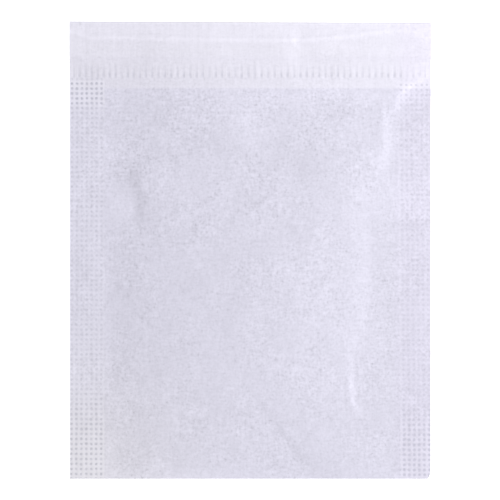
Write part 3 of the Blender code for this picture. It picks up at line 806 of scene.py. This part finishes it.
def paper_piece(paper, thread):
    """The folded strip, thick, pressed and creased."""
    shape = BagShape(paper, thread)
    strip = folded_strip(shape)
    cut_notches(strip, shape, strip.verts.layers.float["sheet"])
    data, count = thickened(strip, shape.sheet)

    mesh = bmesh.new()
    mesh.from_mesh(data)
    mesh.verts.ensure_lookup_table()
    outer_layer = mesh.verts.layers.float.new("outer")
    depth_layer = mesh.verts.layers.float["depth"]
    sheet_layer = mesh.verts.layers.float["sheet"]
    front = [v for v in mesh.verts[:count] if abs(v[sheet_layer] - 2) < SAME_SHEET]
    first_is_outer = sum(mesh.verts[v.index + count].co.z < v.co.z for v in front) > len(front) / 2
    for vert in mesh.verts:
        vert[outer_layer] = float((vert.index < count) == first_is_outer)
    bmesh.ops.recalc_face_normals(mesh, faces=mesh.faces)

    def outer_on(sheet):
        return lambda vert: vert[outer_layer] > 0.99 and abs(vert[sheet_layer] - sheet) < SAME_SHEET

    split(mesh, faces_between(mesh, outer_on(2)), 1)
    left_end, right_start = LEFT_DOTS[0][1] + FINE_PAST, RIGHT_DOTS[0][0] - FINE_PAST
    first_row = LEFT_ROWS[0] - FINE_ABOVE_DOTS
    edge_start, edge_end = shape.hem_depth - FINE_PAST, shape.hem_depth + FINE_BELOW_EDGE
    comb_start, comb_end = shape.comb_depth - FINE_ABOVE_TICKS, shape.comb_end + FINE_PAST

    def in_seal(vert):
        return (vert.co.x < left_end or vert.co.x > right_start) and vert[depth_layer] > first_row

    def at_raw_edge(vert):
        return edge_start < vert[depth_layer] < edge_end

    on_front, on_back = outer_on(2), outer_on(1)
    split(mesh, faces_between(mesh, lambda v: on_front(v) and (in_seal(v) or at_raw_edge(v))), 1)
    split(mesh, faces_between(mesh, lambda v: on_back(v) and in_seal(v)), 1)
    for on_panel, cuts in ((on_front, COMB_CUTS_FRONT), (on_back, COMB_CUTS_BACK)):
        comb = faces_between(mesh, lambda v: on_panel(v) and comb_start < v[depth_layer] < comb_end)
        split_across(mesh, comb, cuts)
    detail(mesh, shape, paper)
    mesh.to_mesh(data)
    mesh.free()
    data.shade_smooth()
    data.set_sharp_from_angle(angle=SHARP_ANGLE)
    return add_piece("bag", data, paper_material(paper))


class Nodes:
    """A material's nodes, added from left to right."""

    def __init__(self, name):
        self.material = bpy.data.materials.new(name)
        self.material.use_nodes = True
        self.tree = self.material.node_tree
        self.shader = self.tree.nodes["Principled BSDF"]
        self.count = 0

    def add(self, kind, **settings):
        node = self.tree.nodes.new(kind)
        node.location = (-1800 + 180 * (self.count // 5), 400 - 220 * (self.count % 5))
        self.count += 1
        for key, value in settings.items():
            setattr(node, key, value)
        return node

    def put(self, socket, value):
        if isinstance(value, bpy.types.NodeSocket):
            self.tree.links.new(value, socket)
        else:
            socket.default_value = value

    def fill(self, kind, **values):
        node = self.add(kind)
        for name, value in values.items():
            self.put(node.inputs[name], value)
        return node

    def math(self, operation, *values, clamp=False):
        node = self.add("ShaderNodeMath", operation=operation, use_clamp=clamp)
        for socket, value in zip(node.inputs, values):
            self.put(socket, value)
        return node.outputs[0]

    def times(self, first, second):
        return self.math("MULTIPLY", first, second)

    def plus(self, first, second):
        return self.math("ADD", first, second)

    def minus(self, first, second):
        return self.math("SUBTRACT", first, second)

    def ramp(self, value, low, high, to_low=0.0, to_high=1.0):
        node = self.add("ShaderNodeMapRange", interpolation_type="SMOOTHSTEP")
        for socket, number in zip(node.inputs, (value, low, high, to_low, to_high)):
            self.put(socket, number)
        return node.outputs[0]

    def noise(self, place, scale, detail=2.0, roughness=0.5, stretch=(1, 1, 1)):
        moved = self.fill("ShaderNodeMapping", Vector=place, Scale=stretch)
        numbers = {"Scale": scale, "Detail": detail, "Roughness": roughness}
        return self.fill("ShaderNodeTexNoise", Vector=moved.outputs[0], **numbers).outputs["Fac"]

    def mix(self, share, first, second, blend="MIX"):
        node = self.add("ShaderNodeMix", data_type="RGBA", blend_type=blend)
        self.put(node.inputs[0], share)
        self.put(node.inputs[6], first)
        self.put(node.inputs[7], second)
        return node.outputs[2]

    def shaded(self, colour, light):
        """The colour times a number."""
        node = self.fill("ShaderNodeCombineColor", Red=light, Green=light, Blue=light)
        return self.mix(1.0, colour, node.outputs[0], "MULTIPLY")

    def axes(self, vector):
        return self.fill("ShaderNodeSeparateXYZ", Vector=vector).outputs

    def attribute(self, name):
        return self.add("ShaderNodeAttribute", attribute_name=name).outputs["Fac"]

    def place(self):
        return self.add("ShaderNodeTexCoord").outputs["Object"]

    def bump(self, height, distance, strength=1.0):
        node = self.fill("ShaderNodeBump", Strength=strength, Distance=distance, Height=height)
        self.tree.links.new(node.outputs[0], self.shader.inputs["Normal"])

    def finish(self, colour, roughness, specular):
        self.put(self.shader.inputs["Base Color"], colour)
        self.shader.inputs["Roughness"].default_value = roughness
        self.shader.inputs["Specular IOR Level"].default_value = specular
        return self.material


def paper_material(paper):
    """Filter paper: cloudy fibre, lighter where more sheets lie inside, duller where it was melted."""
    nodes = Nodes("filter paper")
    place = nodes.place()
    speckle, across, down, formation = (
        nodes.noise(place, *fibre[:4]) for fibre in (SPECKLE, ACROSS, DOWN, FORMATION)
    )
    patches = nodes.ramp(nodes.noise(place, *PATCHES), *PATCH_STRENGTH)
    streaks = nodes.noise(place, *STREAKS[:4])
    layers = nodes.attribute("layers")

    colour = nodes.mix(layers, (*paper.thin_colour, 1), (*paper.thick_colour, 1))
    # the light attribute holds painted light and shade, with the paper's other changes of lightness
    light = nodes.plus(nodes.attribute("light"), 1.0)
    thin = nodes.math("MULTIPLY_ADD", layers, -HIDDEN_FIBRE, 1.0)
    x, y, _ = nodes.axes(place)
    coarser_up = nodes.ramp(y, *UPPER_STRENGTH)
    thin = nodes.times(thin, nodes.times(patches, coarser_up))
    dark = nodes.times(nodes.ramp(speckle, *SPECKS), thin)
    light = nodes.math("MULTIPLY_ADD", dark, SPECK_LIGHT, light)
    for grain, fibre in ((speckle, SPECKLE), (across, ACROSS), (down, DOWN), (formation, FORMATION)):
        grain = nodes.times(nodes.minus(grain, FIBRE_MIDDLE), thin)
        light = nodes.math("MULTIPLY_ADD", grain, fibre[4], light)
    streaks = nodes.times(nodes.minus(streaks, STREAK_MIDDLE), layers)
    light = nodes.math("MULTIPLY_ADD", streaks, STREAKS[4], light)
    colour = nodes.shaded(colour, light)

    # dots: each a little off its place, and unevenly melted, with the paper whiter between them
    cells = nodes.axes(nodes.add("ShaderNodeUVMap", uv_map="dot_cells").outputs[0])
    parts = []
    for cell, scale in zip(cells, STRAY_SCALES):
        stray = nodes.math("MULTIPLY_ADD", nodes.noise(place, scale, 0.0), STRAY, 0.5 - STRAY / 2)
        share = nodes.math("FRACT", nodes.plus(cell, stray))
        parts.append(nodes.math("POWER", nodes.minus(share, 0.5), 2.0))
    away = nodes.math("SQRT", nodes.plus(parts[0], parts[1]))
    dot = nodes.ramp(away, *DOT_FADE)
    uneven = nodes.ramp(nodes.noise(place, MELTED_SCALE, 1.0), *MELTED)
    seal = nodes.attribute("seal")
    dot = nodes.math("MULTIPLY", nodes.times(dot, uneven), seal, clamp=True)
    between = nodes.times(nodes.ramp(seal, *WHITE_START), nodes.ramp(away, *BETWEEN_DOTS))
    hard = nodes.ramp(nodes.attribute("raised"), *WHITENED)
    colour = nodes.mix(nodes.times(between, hard), colour, (*paper.raised_colour, 1))
    colour = nodes.mix(dot, colour, (*paper.pressed_colour, 1))

    # ticks
    share = nodes.math("FRACT", nodes.plus(nodes.attribute("tick"), 0.5))
    off = nodes.math("ABSOLUTE", nodes.minus(share, 0.5))
    tick = nodes.ramp(off, *TICK_FADE)
    tick = nodes.times(nodes.times(tick, uneven), nodes.attribute("comb"))
    colour = nodes.mix(nodes.times(tick, TICK_COLOUR), colour, (*paper.pressed_colour, 1))
    colour = nodes.mix(nodes.attribute("warmth"), colour, LESS_BLUE, "MULTIPLY")
    violet = nodes.ramp(x, *VIOLET_START)
    colour = nodes.mix(violet, colour, MORE_VIOLET, "MULTIPLY")
    nodes.bump(nodes.plus(across, down), 0.03 * MM, 0.5)
    return nodes.finish(colour, 0.9, 0.25)


def thread_material(thread):
    """Cotton: fine fibre along the plies."""
    nodes = Nodes("cotton thread")
    place = nodes.place()
    fibre = nodes.noise(place, 9000, 2.0, 0.6, (1.0, 0.3, 1.0))
    shade = nodes.ramp(fibre, 0.3, 0.7, 0.85, 1.0)
    colour = nodes.shaded((*thread.colour, 1), shade)
    nodes.bump(fibre, 0.02 * MM, 0.6)
    return nodes.finish(colour, 0.95, 0.2)


def thread_places(shape):
    """The loop's middle line: along the front tunnel, round, back along the other and round again."""

    def turn(side, depth):
        angles = steps(0, math.pi, TURN_STEPS)[1:-1]
        x = [side * (shape.turn_x + shape.turn_radius * math.sin(angle)) for angle in angles]
        z = [shape.turn_height + side * shape.turn_radius * math.cos(angle) for angle in angles]
        return [(a, depth, b) for a, b in zip(x, z)]

    high, low = shape.turn_height + shape.turn_radius, shape.turn_height - shape.turn_radius
    front = [(x, depth, high) for x, depth in shape.front_run]
    back = [(x, depth, low) for x, depth in shape.back_run]
    loop = [*front, *turn(1, RIGHT_TURN_DEPTH), *reversed(back), *turn(-1, LEFT_TURN_DEPTH)]
    return [Vector((x, along_y(x, depth), z)) for x, depth, z in loop]


def even_places(places, spacing):
    """The same closed line with its places a set distance apart."""
    ring = [*places, places[0]]
    lengths = [0.0]
    for a, b in zip(ring, ring[1:]):
        lengths.append(lengths[-1] + (b - a).length)
    count = round(lengths[-1] / spacing)
    at = np.linspace(0, lengths[-1], count, endpoint=False)
    points = np.array([np.interp(at, lengths, [p[i] for p in ring]) for i in range(3)]).T
    return [Vector(p) for p in points], lengths[-1]


def thread_piece(paper, thread):
    """One closed thread of twisted plies: a grid rolled round the loop's middle line."""
    shape = BagShape(paper, thread)
    places, length = even_places(thread_places(shape), THREAD_STEP)
    around, along = 5 * thread.plies, len(places)
    turns = round(length / thread.twist)
    mesh = bmesh.new()
    bmesh.ops.create_grid(mesh, x_segments=around, y_segments=along, size=0.5)
    for vert in mesh.verts:
        step = round((vert.co.y + 0.5) * along) % along
        angle = 2 * math.pi * (vert.co.x + 0.5)
        ahead = (places[(step + 1) % along] - places[step - 1]).normalized()
        side = ahead.cross(Vector((0, 1, 0))).normalized()
        up = side.cross(ahead)
        lobe = abs(math.sin(thread.plies * angle / 2))
        radius = 0.5 * thread.diameter * (1 - LOBE + LOBE * lobe)
        turned = angle + 2 * math.pi * turns * step / along
        vert.co = places[step] + (side * math.cos(turned) + up * math.sin(turned)) * radius
    bmesh.ops.remove_doubles(mesh, verts=mesh.verts, dist=SAME_PLACE)
    bmesh.ops.recalc_face_normals(mesh, faces=mesh.faces)
    data = finished(mesh, "thread")
    data.shade_smooth()
    return add_piece("thread", data, thread_material(thread))


class TEABAG_OT_paper(bpy.types.Operator):
    """Make the folded, sealed and creased filter paper"""

    bl_idname = "teabag.paper"
    bl_label = "Paper"

    def execute(self, context):
        bag = paper_piece(context.scene.tea_bag_paper, context.scene.tea_bag_thread)
        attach(bag, "root")
        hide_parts("bag_sheet")
        return {"FINISHED"}


class TEABAG_OT_thread(bpy.types.Operator):
    """Make the drawstring that lies in the hems"""

    bl_idname = "teabag.thread"
    bl_label = "Thread"

    def execute(self, context):
        thread = thread_piece(context.scene.tea_bag_paper, context.scene.tea_bag_thread)
        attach(thread, "root")
        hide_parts("drawstring")
        return {"FINISHED"}


class TEABAG_OT_stage(bpy.types.Operator):
    """Set the floor, the light and the camera"""

    bl_idname = "teabag.stage"
    bl_label = "Stage"

    def execute(self, context):
        stage = context.scene.tea_bag_stage
        mesh = bmesh.new()
        bmesh.ops.create_grid(mesh, x_segments=1, y_segments=1, size=stage.floor_size / 2)
        floor = add_piece("floor", finished(mesh, "floor"), floor_material())

        world = bpy.data.worlds.new("even light")
        context.scene.world = world
        world.use_nodes = True
        sky = world.node_tree.nodes["Background"]
        sky.inputs["Color"].default_value = (1, 1, 1, 1)
        seen = world.node_tree.nodes.new("ShaderNodeLightPath").outputs["Is Camera Ray"]
        strength = world.node_tree.nodes.new("ShaderNodeMapRange")
        strength.inputs["To Min"].default_value, strength.inputs["To Max"].default_value = stage.sky, 1
        world.node_tree.links.new(seen, strength.inputs["Value"])
        world.node_tree.links.new(strength.outputs[0], sky.inputs["Strength"])

        lamp = bpy.data.lights.new("lamp", "AREA")
        lamp.shape = "SQUARE"
        lamp.size = LAMP_SIZE
        lamp.energy = stage.lamp
        holder = bpy.data.objects.new("lamp", lamp)
        context.scene.collection.objects.link(holder)
        holder.location = LAMP_PLACE
        holder.rotation_euler = (-holder.location).to_track_quat("-Z", "Y").to_euler()

        camera = bpy.data.cameras.new("camera")
        camera.sensor_width = 36
        camera.lens = camera.sensor_width * (stage.camera_height - MM) / stage.view_width
        camera.clip_start, camera.clip_end = 0.05, 10
        view = bpy.data.objects.new("camera", camera)
        context.scene.collection.objects.link(view)
        view.location = (CAMERA_X, CAMERA_Y, stage.camera_height)
        context.scene.camera = view
        context.scene.view_settings.view_transform = "Standard"
        return {"FINISHED"}


def floor_material():
    """White floor: the camera sees it lighter than it is lit."""
    nodes = Nodes("white floor")
    seen = nodes.add("ShaderNodeLightPath").outputs["Is Camera Ray"]
    nodes.shader.inputs["Emission Color"].default_value = (1, 1, 1, 1)
    nodes.put(nodes.shader.inputs["Emission Strength"], nodes.times(seen, FLOOR_GLOW))
    return nodes.finish(FLOOR_COLOUR, 0.9, 0.0)


class TEABAG_PT_panel(bpy.types.Panel):
    """Buttons and sizes of the tea bag"""

    bl_label = "Empty Tea Bag"
    bl_idname = "TEABAG_PT_panel"
    bl_space_type = "VIEW_3D"
    bl_region_type = "UI"
    bl_category = "Tea Bag"

    def draw(self, context):
        scene = context.scene
        for settings, operator in (
            (scene.tea_bag_paper, TEABAG_OT_paper),
            (scene.tea_bag_thread, TEABAG_OT_thread),
            (scene.tea_bag_stage, TEABAG_OT_stage),
        ):
            box = self.layout.box()
            for name in settings.__annotations__:
                box.prop(settings, name)
            box.operator(operator.bl_idname)


SETTINGS = PaperSettings, ThreadSettings, StageSettings
CLASSES = *SETTINGS, TEABAG_OT_paper, TEABAG_OT_thread, TEABAG_OT_stage, TEABAG_PT_panel


def register():
    for cls in CLASSES:
        bpy.utils.register_class(cls)
    bpy.types.Scene.tea_bag_paper = PointerProperty(type=PaperSettings)
    bpy.types.Scene.tea_bag_thread = PointerProperty(type=ThreadSettings)
    bpy.types.Scene.tea_bag_stage = PointerProperty(type=StageSettings)


def unregister():
    del bpy.types.Scene.tea_bag_stage
    del bpy.types.Scene.tea_bag_thread
    del bpy.types.Scene.tea_bag_paper
    for cls in reversed(CLASSES):
        bpy.utils.unregister_class(cls)


def main():
    register()
    bpy.ops.teabag.paper()
    bpy.ops.teabag.thread()
    bpy.ops.teabag.stage()


if __name__ == "__main__":
    main()
